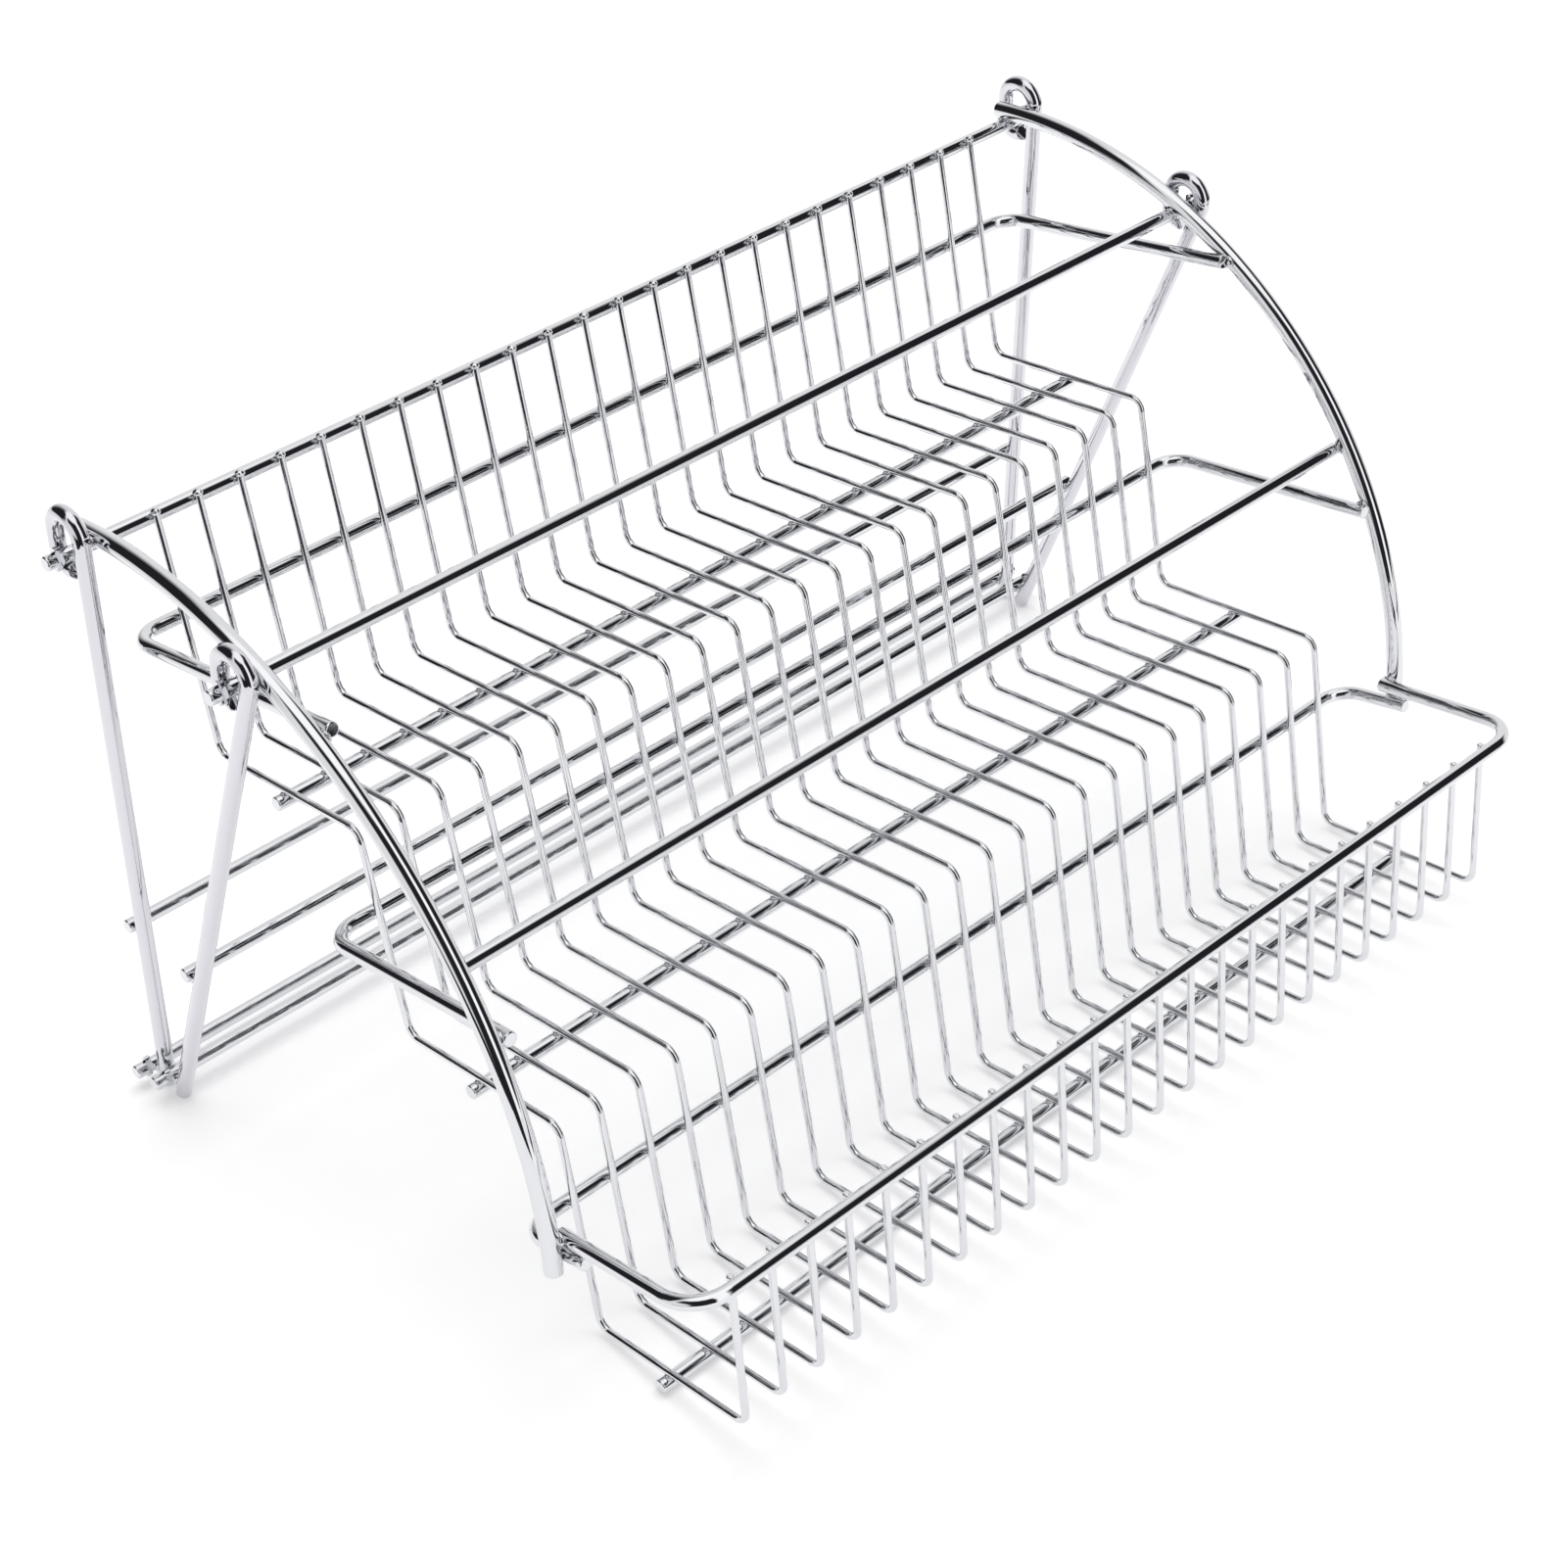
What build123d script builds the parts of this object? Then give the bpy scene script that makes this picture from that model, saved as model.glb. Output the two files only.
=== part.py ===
from build123d import *
import math
import os

# Pull-out spice rack: a stepped wire basket hung on two swinging wire frames.
# Lengths are in millimetres and angles in degrees.

# Wire diameters
grid_wire = 2.0
frame_wire = 4.0
arc_wire = 5.0
leg_wire = 4.5

# Welds, gaps and cut ends
weld_bite = 0.1
leg_gap = 0.5
crimp_gap = 0.3
pin_gap = 0.06
end_round = 0.45

# Grid of stepped wires: each wire is one bent piece, seen here from the side
grid_count = 24
grid_pitch = 12.5
grid_bend = 4.0
wall_rise = 67.8
wall_lean = 5.16
tread_depth = 57.3
first_rise = 59.2
first_lean = 5.3
second_rise = 61.4
second_lean = 3.4
trough_depth = 52.9
lip_rise = 47.5
lip_lean = 1.7
lip_end_rise = 1.0

# Straight wires under the treads
support_overrun = 2.3
support_share = 0.472

# Side arcs: they reach over the wall's end and ahead of the trough's rear bend
arc_plane = 162.0
arc_radius = 141.0
arc_over_wall = 1.9
arc_ahead = 11.7
arc_top_overrun = 2.0
arc_toe_overrun = 3.1

# Rods that cross the rack inside the arcs
front_rod_angle = 116.7
middle_rail_angle = 151.8
rail_inset = 1.0
pin_reach = 4.7
crimp_long = 1.6
crimp_wide = 6.8
crimp_thick = 1.8

# Hoops that carry the grid
hoop_bend = 8.0
lip_bend = 11.0
top_hoop_height = 38.0
top_hoop_slope = 3.3
middle_hoop_drop = 24.2
middle_hoop_slope = 2.1
bottom_hoop_drop = 23.8
bottom_hoop_slope = 6.0
lip_hoop_slope = 2.4
arm_overrun = 1.6
bottom_arm_overrun = 7.6

# Swinging frames: each leg's top is bent into an eye, with the pin in its narrow foot
eye_bend = 5.7
seat_bend = 4.6
eye_mouth = 0.6
rear_eye_rise = 11.6
front_eye_rise = 10.0
rear_pin_offset = 6.76
front_pin_offset = 5.7
cross_wire_overrun = 0.4
foot_reach = 5.1
foot_overrun = 4.8
cross_above_foot = 49.3
rear_foot_distance = 164.3
rear_frame_angle = 8.7
foot_rods_apart = 9.05
foot_rods_angle = 177.1

# Shares and whole turns
end_share = 0.01
crimp_round_share = 0.45
half_turn = 180.0
full_turn = 360.0


def radius_of(diameter):
    return diameter / 2


def seat(first, second):
    return radius_of(first) + radius_of(second) - weld_bite


def turned(point, angle):
    turn = math.radians(angle)
    y = point[0] * math.cos(turn) - point[1] * math.sin(turn)
    z = point[0] * math.sin(turn) + point[1] * math.cos(turn)
    return (y, z)


def moved(point, shift):
    return (point[0] + shift[0], point[1] + shift[1])


# Side view of one grid wire, as corner points (y, z) from its first bend
def grid_corners():
    nose = (-tread_depth, 0)
    second = moved(nose, (-first_lean, -first_rise))
    second_nose = moved(second, (-tread_depth, 0))
    trough = moved(second_nose, (-second_lean, -second_rise))
    lip_foot = moved(trough, (-trough_depth, 0))
    lip_top = moved(lip_foot, (-lip_lean, lip_rise))
    wall_top = (wall_lean, wall_rise)
    return [wall_top, (0, 0), nose, second, second_nose, trough, lip_foot, lip_top]


# Point beside a straight run of the grid, at a height, that far from its axis
def beside(start, end, height, distance):
    along = (height - start[1]) / (end[1] - start[1])
    y = start[0] + along * (end[0] - start[0])
    run = math.hypot(end[0] - start[0], end[1] - start[1])
    return (y + distance * run / abs(end[1] - start[1]), height)


def arc_middle():
    trough = grid_corners()[5]
    return (trough[0] - arc_ahead + arc_radius, wall_rise + arc_over_wall - arc_radius)


arc_centre = arc_middle()


def angle_from(middle, point):
    return math.degrees(math.atan2(point[1] - middle[1], point[0] - middle[0]))


def on_circle(radius, angle):
    return moved(arc_centre, turned((radius, 0), angle))


# Rear rod: it touches the arcs' hollow side and the back of the grid's wall
def rear_rod_point():
    inner = arc_radius - seat(arc_wire, frame_wire)
    lean = math.atan2(wall_lean, wall_rise)
    base = (seat(grid_wire, frame_wire) / math.cos(lean), 0)
    toward = (math.sin(lean), math.cos(lean))
    off = moved(base, (-arc_centre[0], -arc_centre[1]))
    half = off[0] * toward[0] + off[1] * toward[1]
    rest = off[0] ** 2 + off[1] ** 2 - inner ** 2
    step = -half + math.sqrt(half ** 2 - rest)
    return moved(base, (step * toward[0], step * toward[1]))


def front_rod_point():
    return on_circle(arc_radius - seat(arc_wire, frame_wire), front_rod_angle)


def middle_rail_point():
    return on_circle(arc_radius - seat(arc_wire, frame_wire), middle_rail_angle)


# Where a sloping hoop arm meets the arc's centre line
def arm_meets_arc(point, slope, forward):
    turn = math.radians(slope)
    toward = (-forward * math.cos(turn), forward * math.sin(turn))
    off = moved(point, (-arc_centre[0], -arc_centre[1]))
    half = off[0] * toward[0] + off[1] * toward[1]
    rest = off[0] ** 2 + off[1] ** 2 - arc_radius ** 2
    root = math.sqrt(half ** 2 - rest)
    step = min(value for value in (-half - root, -half + root) if value > 0)
    return step, toward


# Rear bar of the bottom hoop, at its height below the second tread
def bottom_hoop_point():
    corners = grid_corners()
    height = corners[4][1] - bottom_hoop_drop
    return beside(corners[5], corners[4], height, seat(grid_wire, frame_wire))


# The arcs run a little past the rear rod above and the bottom hoop below
def arc_reach():
    step, toward = arm_meets_arc(bottom_hoop_point(), bottom_hoop_slope, 1)
    toe = moved(bottom_hoop_point(), (step * toward[0], step * toward[1]))
    above = angle_from(arc_centre, rear_rod_point()) - math.degrees(arc_top_overrun / arc_radius)
    below = angle_from(arc_centre, toe) % full_turn + math.degrees(arc_toe_overrun / arc_radius)
    return above, below


# Sizes across the rack
arm_plane = arc_plane - seat(arc_wire, frame_wire)
leg_plane = arc_plane + radius_of(arc_wire) + radius_of(leg_wire) + leg_gap
leg_face = leg_plane + radius_of(leg_wire)
grid_half = (grid_count - 1) * grid_pitch / 2


# Centres of an eye's two bends, over the pin and round it, seen from the pin
def eye_middles(offset, rise):
    play = seat_bend - radius_of(leg_wire) - radius_of(frame_wire) - pin_gap
    return (eye_bend - offset, rise - eye_bend), (0, play)


# Direction in which the eye's straight back stands off the centres of both bends
def back_angle(crown, foot):
    apart = math.hypot(crown[0] - foot[0], crown[1] - foot[1])
    narrowing = (seat_bend - eye_bend) / apart
    return angle_from(foot, crown) - math.degrees(math.acos(narrowing))


# The eye's wire ends under the pin, a small gap short of its own leg
def end_angle(offset):
    reach = offset - radius_of(leg_wire) - eye_mouth
    past = math.degrees(math.asin(reach / (seat_bend + radius_of(leg_wire))))
    return -half_turn / 2 - past


# Point on a swing frame's cross wire or foot rod, that far below its hinge
def frame_point(hinge, angle, offset, reach):
    off = seat(leg_wire, frame_wire) - offset
    return moved(hinge, turned((off, -reach), angle))


# The front foot rod lies beside the rear one, which sets the front frame's length
def front_stance():
    place = (rear_rod_point(), rear_frame_angle, rear_pin_offset, rear_foot_distance)
    rod = moved(frame_point(*place), turned((foot_rods_apart, 0), foot_rods_angle))
    hinge = front_rod_point()
    off = seat(leg_wire, frame_wire) - front_pin_offset
    reach = math.hypot(rod[0] - hinge[0], rod[1] - hinge[1])
    distance = math.sqrt(reach ** 2 - off ** 2)
    return distance, angle_from(hinge, rod) - angle_from((0, 0), (off, -distance))


# Rounded lower edge of a front leg: the rack stands on these and the trough's wire
def foot_point():
    distance, angle = front_stance()
    across = end_round - radius_of(leg_wire) - front_pin_offset
    down = distance + foot_overrun - end_round
    return moved(front_rod_point(), turned((across, -down), angle))


def support_point(bend, depth):
    back = moved(bend, (-depth * support_share, -seat(grid_wire, frame_wire)))
    return back


def standing():
    corners = grid_corners()
    trough = support_point(corners[5], trough_depth)
    foot = foot_point()
    apart = (foot[0] - trough[0], foot[1] - trough[1])
    reach = math.hypot(apart[0], apart[1])
    step = end_round - radius_of(frame_wire)
    tilt = math.degrees(math.atan2(apart[1], apart[0]) - math.asin(step / reach))
    low = turned(trough, -tilt)[1] - radius_of(frame_wire)
    return tilt, low


rack_tilt, floor_level = standing()


# Middle of the standing rack, between its lip bar and the backs of its rear eyes
def depth_middle():
    lip = turned(lip_point(), -rack_tilt)[0] - radius_of(frame_wire)
    backs = []
    for middle, bend in zip(eye_middles(rear_pin_offset, rear_eye_rise), (eye_bend, seat_bend)):
        eye = moved(rear_rod_point(), turned(middle, rear_frame_angle))
        backs.append(turned(eye, -rack_tilt)[0] + bend)
    back = max(backs) + radius_of(leg_wire)
    return (lip + back) / 2


def lip_point():
    corners = grid_corners()
    height = corners[7][1] - lip_end_rise
    return beside(corners[6], corners[7], height, -seat(grid_wire, frame_wire))


middle_depth = depth_middle()


def stand(shape):
    place = Location((0, -middle_depth, -floor_level)) * Location((0, 0, 0), (-rack_tilt, 0, 0))
    return place * shape


def at(x, point):
    return Vector(x, point[0], point[1])


def round_ends(solid, path, diameter):
    ends = [path @ 0, path @ 1]
    rims = []
    for edge in solid.edges().filter_by(GeomType.CIRCLE):
        near = min((edge.arc_center - end).length for end in ends)
        if near < diameter * end_share:
            rims.append(edge)
    return fillet(rims, end_round)


def swept(path, diameter):
    section = Plane(origin=path @ 0, z_dir=path % 0) * Circle(radius_of(diameter))
    return sweep(section, path=path)


def wire_piece(path, diameter):
    return round_ends(swept(path, diameter), path, diameter)


def cross_wire(half, point, diameter):
    path = Line(at(-half, point), at(half, point))
    return wire_piece(path, diameter)


# Rod pressed flat beside each leg, across its frame, so that what turns on it stays on
def crimped_rod(half, point, turn):
    rod = cross_wire(half, point, frame_wire)
    start = leg_face + crimp_gap
    middle = start + crimp_long / 2
    flat = RectangleRounded(crimp_wide, crimp_thick, crimp_thick * crimp_round_share)
    wide = at(0, turned((0, 1), turn))
    for side in (-1, 1):
        place = Plane(origin=at(side * middle, point), z_dir=(1, 0, 0), x_dir=wide)
        gap = extrude(place * Circle(frame_wire), crimp_long / 2, both=True)
        rod = rod - gap + extrude(place * flat, crimp_long / 2, both=True)
    return rod


def grid_piece(x):
    points = [at(x, corner) for corner in grid_corners()]
    path = FilletPolyline(*points, radius=grid_bend)
    return wire_piece(path, grid_wire)


def side_arc(side):
    x = side * arc_plane
    above, below = arc_reach()
    ends = [at(x, on_circle(arc_radius, angle)) for angle in (above, (above + below) / 2, below)]
    path = ThreePointArc(*ends)
    return wire_piece(path, arc_wire)


# Hoop: a bar across the rack and two arms that lie on the arcs' inner sides
def hoop(point, slope, forward, overrun, bend):
    step, toward = arm_meets_arc(point, slope, forward)
    length = step + overrun
    tip = moved(point, (length * toward[0], length * toward[1]))
    points = [at(-arm_plane, tip), at(-arm_plane, point), at(arm_plane, point), at(arm_plane, tip)]
    path = FilletPolyline(*points, radius=bend)
    return wire_piece(path, frame_wire)


# Leg: a straight wire whose top is bent over and down, into an eye round the pin
def leg(side, hinge, distance, angle, offset, rise):
    crown, foot = eye_middles(offset, rise)
    leaning = back_angle(crown, foot)
    ending = end_angle(offset)
    halfway = (leaning + ending) / 2
    spots = [
        (-offset, -distance - foot_overrun),
        (-offset, crown[1]),
        (crown[0], rise),
        moved(crown, turned((eye_bend, 0), leaning)),
        moved(foot, turned((seat_bend, 0), leaning)),
        moved(foot, turned((seat_bend, 0), halfway)),
        moved(foot, turned((seat_bend, 0), ending)),
    ]
    places = [at(side * leg_plane, moved(hinge, turned(spot, angle))) for spot in spots]
    bottom, shoulder, top, back, low_back, low, tip = places
    shank = Line(bottom, shoulder)
    over = ThreePointArc(shoulder, top, back)
    down = Line(back, low_back)
    under = ThreePointArc(low_back, low, tip)
    return wire_piece(Wire([shank, over, down, under]), leg_wire)


def swing_frame(name, hinge, distance, angle, offset, rise):
    half = leg_face + cross_wire_overrun
    cross = frame_point(hinge, angle, offset, distance - cross_above_foot)
    foot = frame_point(hinge, angle, offset, distance)
    return {
        name + "_left_leg": leg(-1, hinge, distance, angle, offset, rise),
        name + "_right_leg": leg(1, hinge, distance, angle, offset, rise),
        name + "_cross_wire": cross_wire(half, cross, frame_wire),
        name + "_foot_rod": crimped_rod(leg_face + foot_reach, foot, angle),
    }


def rear_frame():
    eye = (rear_pin_offset, rear_eye_rise)
    return swing_frame("rear", rear_rod_point(), rear_foot_distance, rear_frame_angle, *eye)


def front_frame():
    eye = (front_pin_offset, front_eye_rise)
    return swing_frame("front", front_rod_point(), *front_stance(), *eye)


def basket():
    corners = grid_corners()
    wall = (corners[1], corners[0])
    first = (corners[3], corners[2])
    behind = seat(grid_wire, frame_wire)
    top = beside(*wall, top_hoop_height, behind)
    middle = beside(*first, -middle_hoop_drop, behind)
    support_half = grid_half + radius_of(grid_wire) + support_overrun
    rail_half = arc_plane - rail_inset
    pin_half = leg_face + pin_reach
    pieces = {
        "left_side_arc": side_arc(-1),
        "right_side_arc": side_arc(1),
        "rear_pivot_rod": crimped_rod(pin_half, rear_rod_point(), rack_tilt),
        "front_pivot_rod": crimped_rod(pin_half, front_rod_point(), rack_tilt),
        "middle_rail": cross_wire(rail_half, middle_rail_point(), frame_wire),
        "top_hoop": hoop(top, top_hoop_slope, 1, arm_overrun, hoop_bend),
        "middle_hoop": hoop(middle, middle_hoop_slope, 1, arm_overrun, hoop_bend),
        "bottom_rear_hoop": hoop(bottom_hoop_point(), bottom_hoop_slope, 1, bottom_arm_overrun, hoop_bend),
        "bottom_front_hoop": hoop(lip_point(), lip_hoop_slope, -1, arm_overrun, lip_bend),
        "top_support_wire": cross_wire(support_half, support_point(corners[1], tread_depth), frame_wire),
        "middle_support_wire": cross_wire(support_half, support_point(corners[3], tread_depth), frame_wire),
        "bottom_support_wire": cross_wire(support_half, support_point(corners[5], trough_depth), frame_wire),
    }
    for number in range(grid_count):
        x = number * grid_pitch - grid_half
        pieces[f"grid_wire_{number + 1:02d}"] = grid_piece(x)
    return pieces


def main():
    pieces = basket()
    pieces.update(rear_frame())
    pieces.update(front_frame())
    os.makedirs("parts", exist_ok=True)
    for name, piece in pieces.items():
        solid = stand(piece)
        solid.label = name
        export_step(solid, f"parts/{name}.step")
    for name, point in (("rear", rear_rod_point()), ("front", front_rod_point())):
        y, z = turned(point, -rack_tilt)
        print(name, "hinge axis", round(y - middle_depth, 4), round(z - floor_level, 4))
    print("rack tilt", round(rack_tilt, 4), "pieces", len(pieces))


if __name__ == "__main__":
    main()
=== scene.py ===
import bpy
import math
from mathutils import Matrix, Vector
from mathutils.bvhtree import BVHTree


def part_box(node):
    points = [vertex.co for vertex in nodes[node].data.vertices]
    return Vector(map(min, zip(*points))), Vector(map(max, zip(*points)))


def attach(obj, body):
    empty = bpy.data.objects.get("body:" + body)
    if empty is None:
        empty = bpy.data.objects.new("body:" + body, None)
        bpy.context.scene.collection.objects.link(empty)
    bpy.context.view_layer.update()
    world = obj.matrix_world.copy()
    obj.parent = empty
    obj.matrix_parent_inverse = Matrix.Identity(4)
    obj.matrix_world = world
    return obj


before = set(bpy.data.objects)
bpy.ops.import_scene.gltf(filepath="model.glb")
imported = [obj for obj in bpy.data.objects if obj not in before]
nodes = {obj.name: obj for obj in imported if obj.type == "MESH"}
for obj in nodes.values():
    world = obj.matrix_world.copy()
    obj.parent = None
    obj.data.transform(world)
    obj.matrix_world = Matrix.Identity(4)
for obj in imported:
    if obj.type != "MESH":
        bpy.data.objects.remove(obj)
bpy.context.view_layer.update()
print("frame loaded:", len(nodes), "wires")


def clearSelection():
    if bpy.context.object and bpy.context.object.mode != "OBJECT":
        bpy.ops.object.mode_set(mode="OBJECT")
    bpy.ops.object.select_all(action="DESELECT")


def selectOnly(pieces):  # the first of them becomes the active one
    clearSelection()
    for piece in pieces:
        piece.select_set(True)
    bpy.context.view_layer.objects.active = pieces[0]


def settle(piece):  # place, turn and size go into the mesh, so the object sits at the origin
    selectOnly([piece])
    bpy.ops.object.transform_apply(location=True, rotation=True, scale=True)


def joinPieces(pieces, name):
    selectOnly(pieces)
    bpy.ops.object.join()
    joined = bpy.context.object
    joined.name = name
    joined.data.name = name
    return joined


def newNode(tree, kind, place, values=None):
    node = tree.nodes.new(kind)
    node.location = place
    for socket, value in (values or {}).items():
        node.inputs[socket].default_value = value
    return node


def calculate(tree, kind, first, second=None):  # a Math node on sockets or plain numbers
    node = tree.nodes.new("ShaderNodeMath")
    node.operation = kind
    for socket, value in zip(node.inputs, (first, second)):
        if isinstance(value, (int, float)):
            socket.default_value = value
        elif value is not None:
            tree.links.new(value, socket)
    return node.outputs[0]


# scales are per metre, depths are in metres
chromeLook = {
    "colour": (0.74, 0.745, 0.765, 1),
    "roughness": 0.028,
    "hazeRoughness": 2.4,  # times the roughness, where the plating is dullest
    "hazeFineness": 4,  # times the ripple's scale
    "hazeFrom": 0.35,
    "hazeTo": 0.7,
    "hazeDetail": 4,
    "rippleScale": 95,
    "rippleHeight": 0.11,
    "rippleDepth": 0.0004,
    "rippleDetail": 1,
    "grainScale": 1400,
    "grainHeight": 0.05,
    "grainDepth": 0.00005,
    "grainDetail": 2,
}
rodLook = {**chromeLook, "rippleScale": 60, "grainScale": 1100}
legLook = {**chromeLook, "colour": (0.69, 0.69, 0.725, 1), "rippleScale": 50}
weldLook = {**chromeLook, "roughness": 0.09, "rippleScale": 700, "rippleHeight": 0.5}


def chromeMaterial(name, look):
    material = bpy.data.materials.new(name)
    material.use_nodes = True
    tree = material.node_tree
    shader = tree.nodes["Principled BSDF"]
    shader.inputs["Base Color"].default_value = look["colour"]
    shader.inputs["Metallic"].default_value = 1
    place = newNode(tree, "ShaderNodeTexCoord", (-1100, 0))

    def noise(row, scale, detail):
        values = {"Scale": scale, "Detail": detail}
        texture = newNode(tree, "ShaderNodeTexNoise", (-850, row), values)
        tree.links.new(place.outputs["Object"], texture.inputs["Vector"])
        return texture.outputs["Fac"]

    def bump(spot, height, strength, depth):
        values = {"Strength": strength, "Distance": depth}
        node = newNode(tree, "ShaderNodeBump", spot, values)
        tree.links.new(height, node.inputs["Height"])
        return node

    haze = noise(120, look["rippleScale"] * look["hazeFineness"], look["hazeDetail"])
    ripple = noise(-160, look["rippleScale"], look["rippleDetail"])
    grain = noise(-420, look["grainScale"], look["grainDetail"])
    hazeRange = newNode(tree, "ShaderNodeMapRange", (-600, 120), {
        "From Min": look["hazeFrom"],
        "From Max": look["hazeTo"],
        "To Min": look["roughness"],
        "To Max": look["roughness"] * look["hazeRoughness"],
    })
    rippleBump = bump((-350, -160), ripple, look["rippleHeight"], look["rippleDepth"])
    grainBump = bump((-150, -300), grain, look["grainHeight"], look["grainDepth"])
    tree.links.new(haze, hazeRange.inputs["Value"])
    tree.links.new(hazeRange.outputs["Result"], shader.inputs["Roughness"])
    tree.links.new(rippleBump.outputs["Normal"], grainBump.inputs["Normal"])
    tree.links.new(grainBump.outputs["Normal"], shader.inputs["Normal"])
    return material


gridChrome = chromeMaterial("gridChrome", chromeLook)
rodChrome = chromeMaterial("rodChrome", rodLook)
legChrome = chromeMaterial("legChrome", legLook)
weldChrome = chromeMaterial("weldChrome", weldLook)

slotChrome = {"grid_wire": gridChrome, "frame_wire": rodChrome, "leg_wire": legChrome}
for node in nodes.values():
    for slot in node.material_slots:
        slot.material = slotChrome[slot.material.name.split(".")[0]]
print("wires plated")


# a flat nugget of metal sits where two wires are welded
weldSize = {"width": 0.0021, "length": 0.0030, "rise": 0.0011, "rings": 6, "around": 8}
rodWeldSize = {"width": 0.0036, "length": 0.0044, "rise": 0.0017, "rings": 8, "around": 12}
endBeadSize = {"width": 0.0027, "length": 0.0027, "rise": 0.0020, "rings": 8, "around": 12}
nuggetRim = {"height": 0.2, "longer": 1.12, "narrower": 0.94}  # one side is squeezed out


def weldNugget(name, size):
    bpy.ops.mesh.primitive_uv_sphere_add(
        segments=size["around"], ring_count=size["rings"], radius=0.5)
    nugget = bpy.context.object
    nugget.name = name
    nugget.scale = (size["length"], size["width"], size["rise"])
    settle(nugget)
    bpy.ops.object.mode_set(mode="EDIT")
    bpy.ops.mesh.select_all(action="DESELECT")
    bpy.ops.object.mode_set(mode="OBJECT")
    rimHeight = size["rise"] * nuggetRim["height"]
    for vertex in nugget.data.vertices:
        vertex.select = abs(vertex.co.z) < rimHeight and vertex.co.x > 0
    bpy.ops.object.mode_set(mode="EDIT")
    squeeze = (nuggetRim["longer"], nuggetRim["narrower"], 1)
    bpy.ops.transform.resize(value=squeeze, center_override=(0, 0, 0))
    bpy.ops.object.mode_set(mode="OBJECT")
    bpy.ops.object.shade_smooth()
    nugget.data.materials.append(weldChrome)
    return nugget


def placeNugget(master, spot, outward, along, name):  # its top faces outward
    copy = master.copy()
    copy.data = master.data.copy()
    bpy.context.scene.collection.objects.link(copy)
    copy.name = name
    up = outward.normalized()
    side = up.cross(along).normalized()
    front = side.cross(up).normalized()
    rows = [(front[i], side[i], up[i]) for i in range(3)]
    for vertex in copy.data.vertices:
        x, y, z = vertex.co
        vertex.co = spot + Vector([a * x + b * y + c * z for a, b, c in rows])
    return copy


def corners(name):
    return [vertex.co.copy() for vertex in nodes[name].data.vertices]


def wireSurface(name):  # finds the nearest place on a wire
    faces = [list(face.vertices) for face in nodes[name].data.polygons]
    return BVHTree.FromPolygons(corners(name), faces)


def rodMiddle(name):
    low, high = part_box(name)
    return (low + high) / 2


# the last ring of points on a hoop's straight bar is this far from the rack's middle
hoopBarEnd = {
    "from": 0.14,
    "to": 0.15,
    "radius": 0.002,
    "depth": 0.00404,  # the bar's thickness and a little more
}


def hoopBar(name, toRear):  # centre line of a hoop's bar, from the ends of its straight part
    low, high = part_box(name)
    edge = high.y if toRear else low.y
    inward = -hoopBarEnd["radius"] if toRear else hoopBarEnd["radius"]
    bar = [corner for corner in corners(name) if abs(corner.y - edge) < hoopBarEnd["depth"]]
    ring = [corner for corner in bar if hoopBarEnd["from"] < abs(corner.x) < hoopBarEnd["to"]]
    middle = sum(ring, Vector()) / len(ring)
    return Vector((0, edge + inward, middle.z))


# a grid wire's end on the rear rod is melted into a bead
endBead = {
    "tip": 0.0006,  # how much of the wire's end gives its middle
    "sunk": 0.0005,
    "upward": (0, 0.2, 1),
    "turn": 2.4,  # radians for each nugget made so far, so that the beads don't look alike
}


def wireTop(name):  # just inside the upper end of a grid wire
    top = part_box(name)[1].z
    tip = [corner for corner in corners(name) if corner.z > top - endBead["tip"]]
    middle = sum(tip, Vector()) / len(tip)
    return Vector((rodMiddle(name).x, middle.y, top - endBead["sunk"]))


straightWires = ("rear_pivot_rod", "top_support_wire", "middle_support_wire",
                 "bottom_support_wire")
crossings = {name: rodMiddle(name) for name in straightWires}
for hoop in ("top_hoop", "middle_hoop", "bottom_rear_hoop"):
    crossings[hoop] = hoopBar(hoop, True)
crossings["bottom_front_hoop"] = hoopBar("bottom_front_hoop", False)

touch = {
    "crossing": 0.0025,  # from a crossing wire's centre line to the grid wire's surface
    "rods": 0.0004,  # between the surfaces of two rods
    "steps": 30,
}
master = weldNugget("weldMaster", weldSize)
beadMaster = weldNugget("endBeadMaster", endBeadSize)
gridNames = sorted(name for name in nodes if name.startswith("grid_wire_"))
gridNuggets = []
for gridName in gridNames:
    surface = wireSurface(gridName)
    wireX = rodMiddle(gridName).x
    for rodName, middle in crossings.items():
        point = Vector((wireX, middle.y, middle.z))
        spot, _, _, distance = surface.find_nearest(point)
        if distance > touch["crossing"]:
            print("no touch", gridName, rodName, distance)
            continue
        spot.x = wireX
        gridNuggets.append(placeNugget(master, spot, spot - point, Vector((1, 0, 0)), "gridWeld"))
    turn = endBead["turn"] * len(gridNuggets)
    rim = Vector((math.cos(turn), math.sin(turn), 0))
    upward = Vector(endBead["upward"])
    gridNuggets.append(placeNugget(beadMaster, wireTop(gridName), upward, rim, "endBead"))
gridWelds = joinPieces(gridNuggets, "gridWelds")
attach(gridWelds, "basket")
print("grid welds:", len(gridNuggets))

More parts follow.
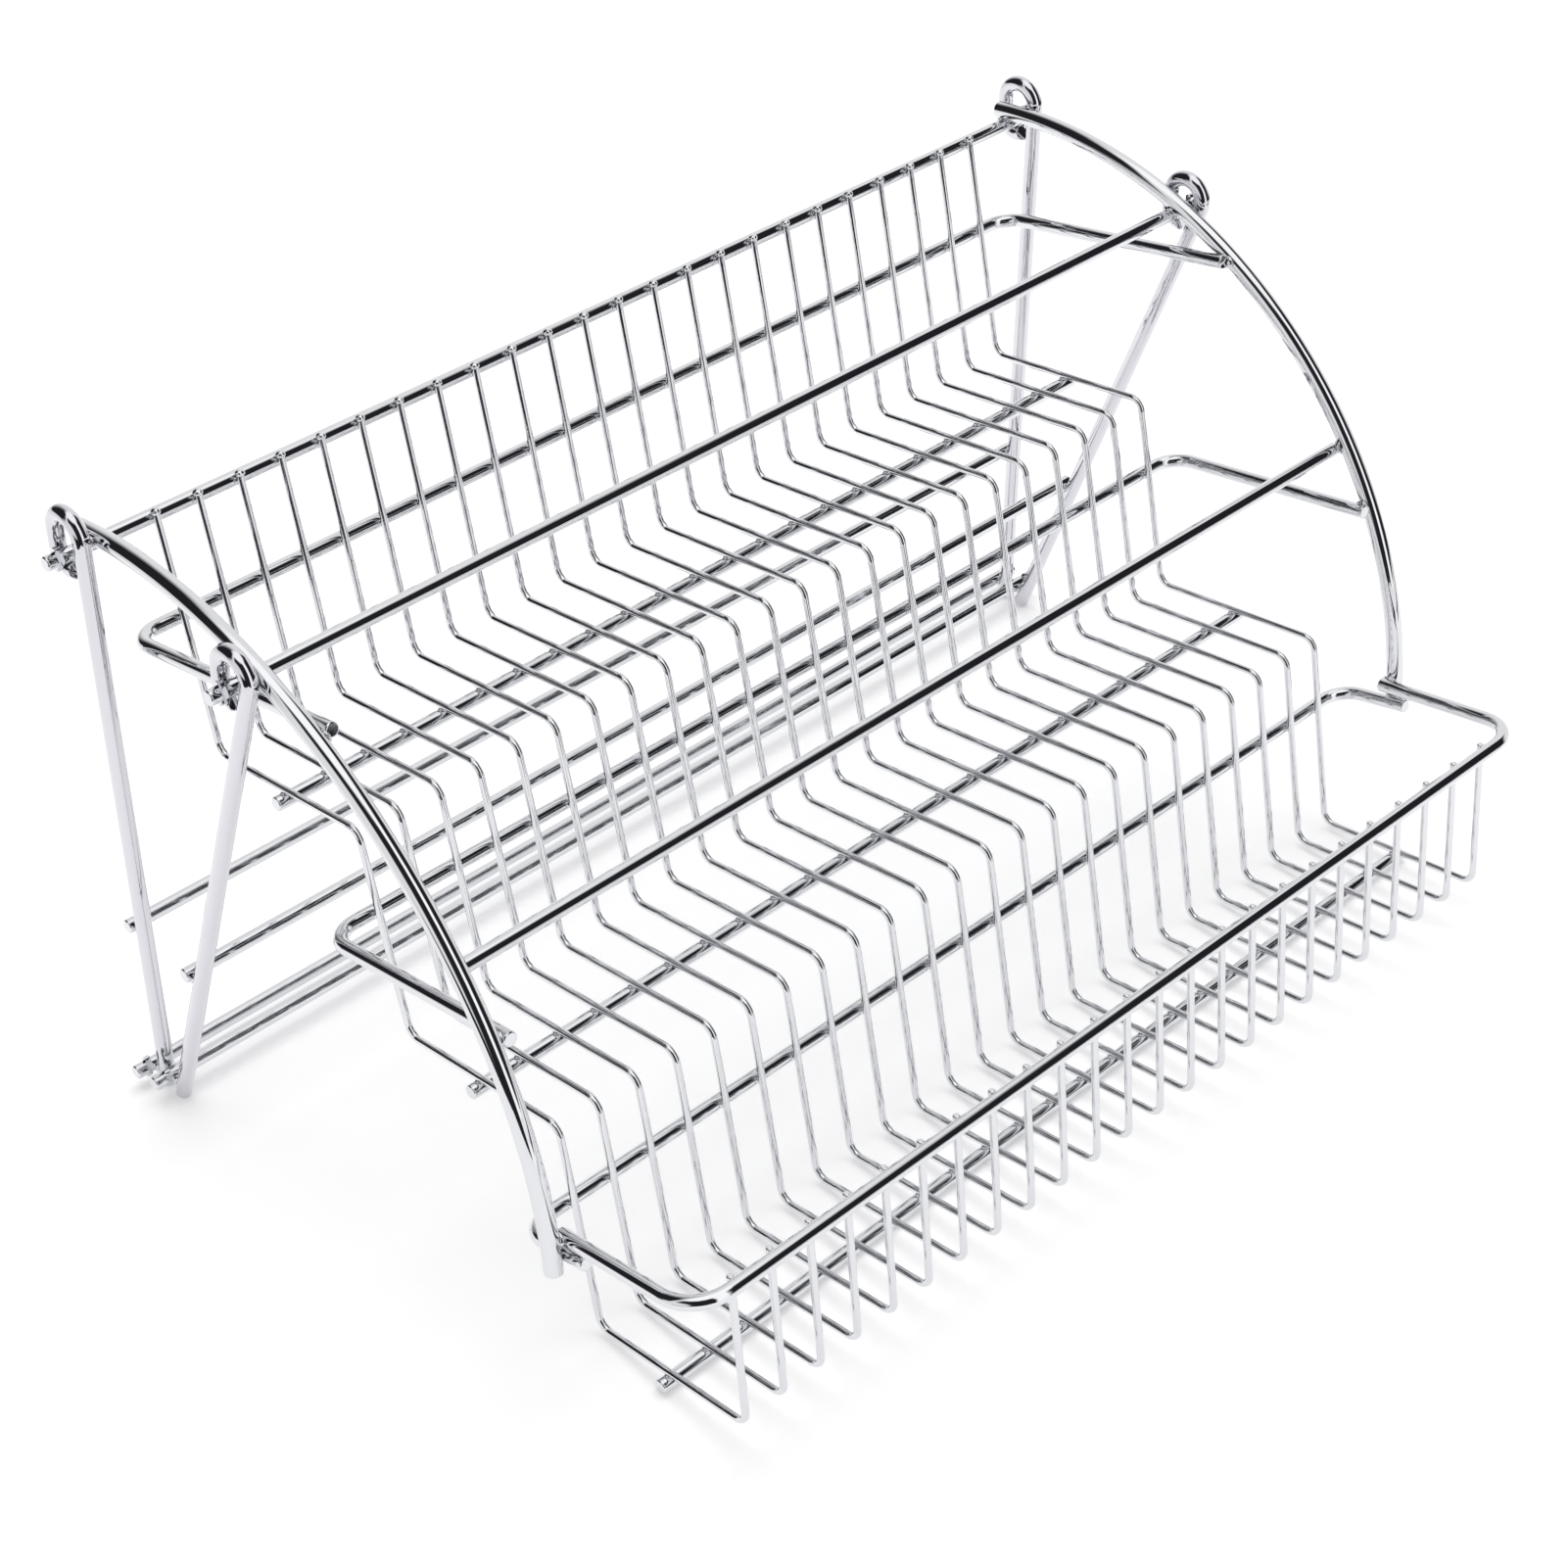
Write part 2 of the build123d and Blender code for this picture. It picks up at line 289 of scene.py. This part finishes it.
# the rods and hoops are welded to the arcs, and each swinging frame's rods to its legs
arcWires = ("top_hoop", "middle_hoop", "bottom_front_hoop", "rear_pivot_rod", "front_pivot_rod",
            "middle_rail")
arcs = ("left_side_arc", "right_side_arc")
weldPairs = {"basket": [(arc, wire) for arc in arcs for wire in arcWires]}
for end in ("rear", "front"):
    legs = [end + "_" + side + "_leg" for side in ("left", "right")]
    rods = (end + "_foot_rod", end + "_cross_wire")
    weldPairs[end + "_link_frame"] = [(leg, rod) for leg in legs for rod in rods]
weldLooks = {
    "basket": ("rodWelds", "frame_wire"),
    "rear_link_frame": ("rearFrameWelds", "leg_wire"),
    "front_link_frame": ("frontFrameWelds", "leg_wire"),
}
welded = sorted({name for pairs in weldPairs.values() for pair in pairs for name in pair})
surfaces = {name: wireSurface(name) for name in welded}


def touchPoint(first, second, half):  # where two wires meet on one half of the rack
    starts = [corner for corner in corners(first) if corner.x * half > 0]
    place = min(starts, key=lambda corner: surfaces[second].find_nearest(corner)[3])
    for step in range(touch["steps"]):
        onSecond, outward, _, apart = surfaces[second].find_nearest(place)
        place = surfaces[first].find_nearest(onSecond)[0]
    return (place + onSecond) / 2, outward, apart


rodMaster = weldNugget("rodWeldMaster", rodWeldSize)
for body, pairs in weldPairs.items():
    nuggets = []
    for first, second in pairs:
        spot, outward, apart = touchPoint(first, second, -1 if "left" in first else 1)
        if apart > touch["rods"]:
            print("no touch", first, second, round(apart * 1000, 2))
            continue
        nuggets.append(placeNugget(rodMaster, spot, outward, Vector((0, 1, 0)), "rodWeld"))
    print("rod welds", body, len(nuggets))
    weldName, weldSlot = weldLooks[body]
    welds = joinPieces(nuggets, weldName)
    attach(welds, body)
for used in (master, beadMaster, rodMaster):
    bpy.data.objects.remove(used)


# white paper: a lit table top, a lit sheet in front of it, and plain aprons all round
# the plating doesn't see the aprons, so the gap between table and sheet is dark in it
studio = {
    "table": (-0.48, -0.33, 0.85, 0.85),  # left, front, right and back edge
    "frontSheet": (-0.2, -1.0, 0.85, -0.45),
    "apron": 6.0,
    "white": (0.93, 0.93, 0.935, 1),
    "roughness": 0.9,
    "specular": 0.1,
    "glow": 0.24,
}


def seenRays(tree):  # 1 where the camera, a mirror or glass looks, and 0 elsewhere
    rays = tree.nodes.new("ShaderNodeLightPath")
    seen = rays.outputs["Is Camera Ray"]
    for kind in ("Is Glossy Ray", "Is Transmission Ray"):
        seen = calculate(tree, "MAXIMUM", seen, rays.outputs[kind])
    return rays, seen


def paperMaterial(name):
    paper = bpy.data.materials.new(name)
    paper.use_nodes = True
    tree = paper.node_tree
    shader = tree.nodes["Principled BSDF"]
    shader.inputs["Base Color"].default_value = studio["white"]
    shader.inputs["Roughness"].default_value = studio["roughness"]
    shader.inputs["Specular IOR Level"].default_value = studio["specular"]
    glow = tree.nodes.new("ShaderNodeEmission")
    return paper, tree, shader, glow


def tablePaper():  # lit paper with a little glow, so it keeps the shadow
    paper, tree, shader, glow = paperMaterial("studioPaper")
    amount = calculate(tree, "MULTIPLY", seenRays(tree)[1], studio["glow"])
    mix = tree.nodes.new("ShaderNodeAddShader")
    tree.links.new(amount, glow.inputs["Strength"])
    tree.links.new(shader.outputs[0], mix.inputs[0])
    tree.links.new(glow.outputs[0], mix.inputs[1])
    tree.links.new(mix.outputs[0], tree.nodes["Material Output"].inputs["Surface"])
    return paper


def apronPaper():  # plain white where it is seen
    paper, tree, shader, glow = paperMaterial("apronPaper")
    mix = tree.nodes.new("ShaderNodeMixShader")
    tree.links.new(seenRays(tree)[1], mix.inputs[0])
    tree.links.new(shader.outputs[0], mix.inputs[1])
    tree.links.new(glow.outputs[0], mix.inputs[2])
    tree.links.new(mix.outputs[0], tree.nodes["Material Output"].inputs["Surface"])
    return paper


def floorPlane(name, paper, x0, y0, x1, y1):
    bpy.ops.mesh.primitive_plane_add(size=1, location=((x0 + x1) / 2, (y0 + y1) / 2, 0))
    floor = bpy.context.object
    floor.name = name
    floor.scale = (x1 - x0, y1 - y0, 1)
    settle(floor)
    floor.data.materials.append(paper)
    return floor


clearSelection()
lit, plain = tablePaper(), apronPaper()
left, front, right, back = studio["table"]
sheetLeft, sheetFront, _, sheetBack = studio["frontSheet"]
far = studio["apron"]
floorPlane("studioTable", lit, *studio["table"])
floorPlane("frontSheet", lit, *studio["frontSheet"])
aprons = {
    "apronGap": (left, sheetBack, right, front),
    "apronCorner": (left, sheetFront, sheetLeft, sheetBack),
    "apronFront": (-far, -far, far, sheetFront),
    "apronLeft": (-far, sheetFront, left, far),
    "apronRight": (right, sheetFront, far, far),
    "apronBack": (left, back, right, far),
}
for name, edges in aprons.items():
    apron = floorPlane(name, plain, *edges)
    apron.visible_glossy = False

# painted reflections: the room as the plating sees it, by direction: across, to the rear and up,
# from -1 to 1
room = {
    "pale": 0.95,
    # lamp is a painted highlight brighter than white; only glossy rays see it, and it lights
    # nothing
    "lamp": 1.25,
    # dark is a painted dark reflection, seen only by glossy rays
    "dark": (0.018, 0.018, 0.022, 1),
    "soft": 0.12,  # width of every edge
    "front": 0.1,  # painted dark reflection of a front wall up to its top, but for a strip of painted highlight
    "frontTop": 0.84,
    "stripMiddle": 0.05,
    "stripHalf": 0.22,
    "sides": 0.88,  # both side walls are pale
    "sideFoot": -0.1,
    "rear": 0.25,  # painted reflection of a rear wall, going from dark to pale
    "rearTop": 0.92,
    "rearDark": -0.15,
    "rearPale": 0.5,
    "overhead": 0.86,  # a painted highlight overhead
    "fill": 0.55,  # the room's light on what doesn't mirror it
}


def roomWorld():
    world = bpy.data.worlds.new("studioRoom")
    bpy.context.scene.world = world
    world.use_nodes = True
    tree = world.node_tree
    background = tree.nodes["Background"]
    place = tree.nodes.new("ShaderNodeTexCoord")
    split = tree.nodes.new("ShaderNodeSeparateXYZ")
    tree.links.new(place.outputs["Generated"], split.inputs[0])
    across, rearward, upward = (split.outputs[axis] for axis in "XYZ")

    def ramp(source, start, end):
        step = tree.nodes.new("ShaderNodeMapRange")
        step.interpolation_type = "SMOOTHSTEP"
        step.inputs["From Min"].default_value = start
        step.inputs["From Max"].default_value = end
        tree.links.new(source, step.inputs["Value"])
        return step.outputs["Result"]

    def above(source, at):  # 0 below a soft edge and 1 above it
        return ramp(source, at - room["soft"] / 2, at + room["soft"] / 2)

    def below(source, at):
        return ramp(source, at + room["soft"] / 2, at - room["soft"] / 2)

    def without(amount):
        return calculate(tree, "SUBTRACT", 1, amount)

    def allOf(first, *others):
        for other in others:
            first = calculate(tree, "MULTIPLY", first, other)
        return first

    def blendColours(amount, first, second):
        mix = tree.nodes.new("ShaderNodeMix")
        mix.data_type = "RGBA"
        tree.links.new(amount, mix.inputs["Factor"])
        for socket, value in ((mix.inputs["A"], first), (mix.inputs["B"], second)):
            if isinstance(value, tuple):
                socket.default_value = value
            else:
                tree.links.new(value, socket)
        return mix.outputs["Result"]

    def grey(level):
        return (level, level, level, 1)

    sideways = calculate(tree, "ABSOLUTE", across)
    paleSides = allOf(above(sideways, room["sides"]), above(upward, room["sideFoot"]))
    notSides = without(paleSides)
    inFront = below(rearward, room["front"])
    offStrip = calculate(tree, "SUBTRACT", across, room["stripMiddle"])
    outsideStrip = above(calculate(tree, "ABSOLUTE", offStrip), room["stripHalf"])
    frontDark = allOf(inFront, below(upward, room["frontTop"]), outsideStrip, notSides)
    rearWall = allOf(above(rearward, room["rear"]), below(upward, room["rearTop"]))
    darkPart = allOf(above(upward, 0), ramp(across, room["rearPale"], room["rearDark"]))
    rearDark = allOf(rearWall, darkPart, notSides)
    strip = allOf(inFront, without(outsideStrip))
    # painted highlights: the strip and the overhead patch, seen only in reflections
    paintedHighlights = calculate(tree, "MAXIMUM", strip, above(upward, room["overhead"]))
    paleRoom = blendColours(paintedHighlights, grey(room["pale"]), grey(room["lamp"]))
    paintedDarkness = calculate(tree, "MAXIMUM", frontDark, rearDark)
    paintedReflection = blendColours(paintedDarkness, paleRoom, room["dark"])

    rays, seen = seenRays(tree)
    # only glossy rays see the painted reflection; all other rays see plain white
    colour = blendColours(rays.outputs["Is Glossy Ray"], grey(1), paintedReflection)
    strength = tree.nodes.new("ShaderNodeMapRange")
    strength.inputs["To Min"].default_value = room["fill"]
    strength.inputs["To Max"].default_value = 1
    tree.links.new(seen, strength.inputs["Value"])
    tree.links.new(colour, background.inputs["Color"])
    tree.links.new(strength.outputs["Result"], background.inputs["Strength"])


roomWorld()

overheadBox = {"place": (0.25, 0.35, 1.5), "aim": (0, 0, 0.05), "size": (1.6, 1.2), "power": 14}


def softLamp(name, box):
    lamp = bpy.data.lights.new(name, "AREA")
    lamp.shape = "RECTANGLE"
    lamp.size, lamp.size_y = box["size"]
    lamp.energy = box["power"]
    holder = bpy.data.objects.new(name, lamp)
    bpy.context.scene.collection.objects.link(holder)
    holder.location = box["place"]
    towards = Vector(box["aim"]) - Vector(box["place"])
    holder.rotation_euler = towards.to_track_quat("-Z", "Y").to_euler()
    holder.visible_glossy = False


softLamp("overheadBox", overheadBox)

photoCamera = {
    "place": (-0.47335, -0.46814, 0.57253),
    "turn": (52.630, 0.621, -44.072),
    "lens": 71.02,
    "sensor": 36,
}
camera = bpy.data.cameras.new("photoCamera")
camera.lens = photoCamera["lens"]
camera.sensor_width = photoCamera["sensor"]
camera.sensor_fit = "HORIZONTAL"
cameraHolder = bpy.data.objects.new("photoCamera", camera)
bpy.context.scene.collection.objects.link(cameraHolder)
cameraHolder.location = photoCamera["place"]
cameraHolder.rotation_euler = [math.radians(angle) for angle in photoCamera["turn"]]
bpy.context.scene.camera = cameraHolder
bpy.context.scene.view_settings.view_transform = "Standard"
print("studio set")
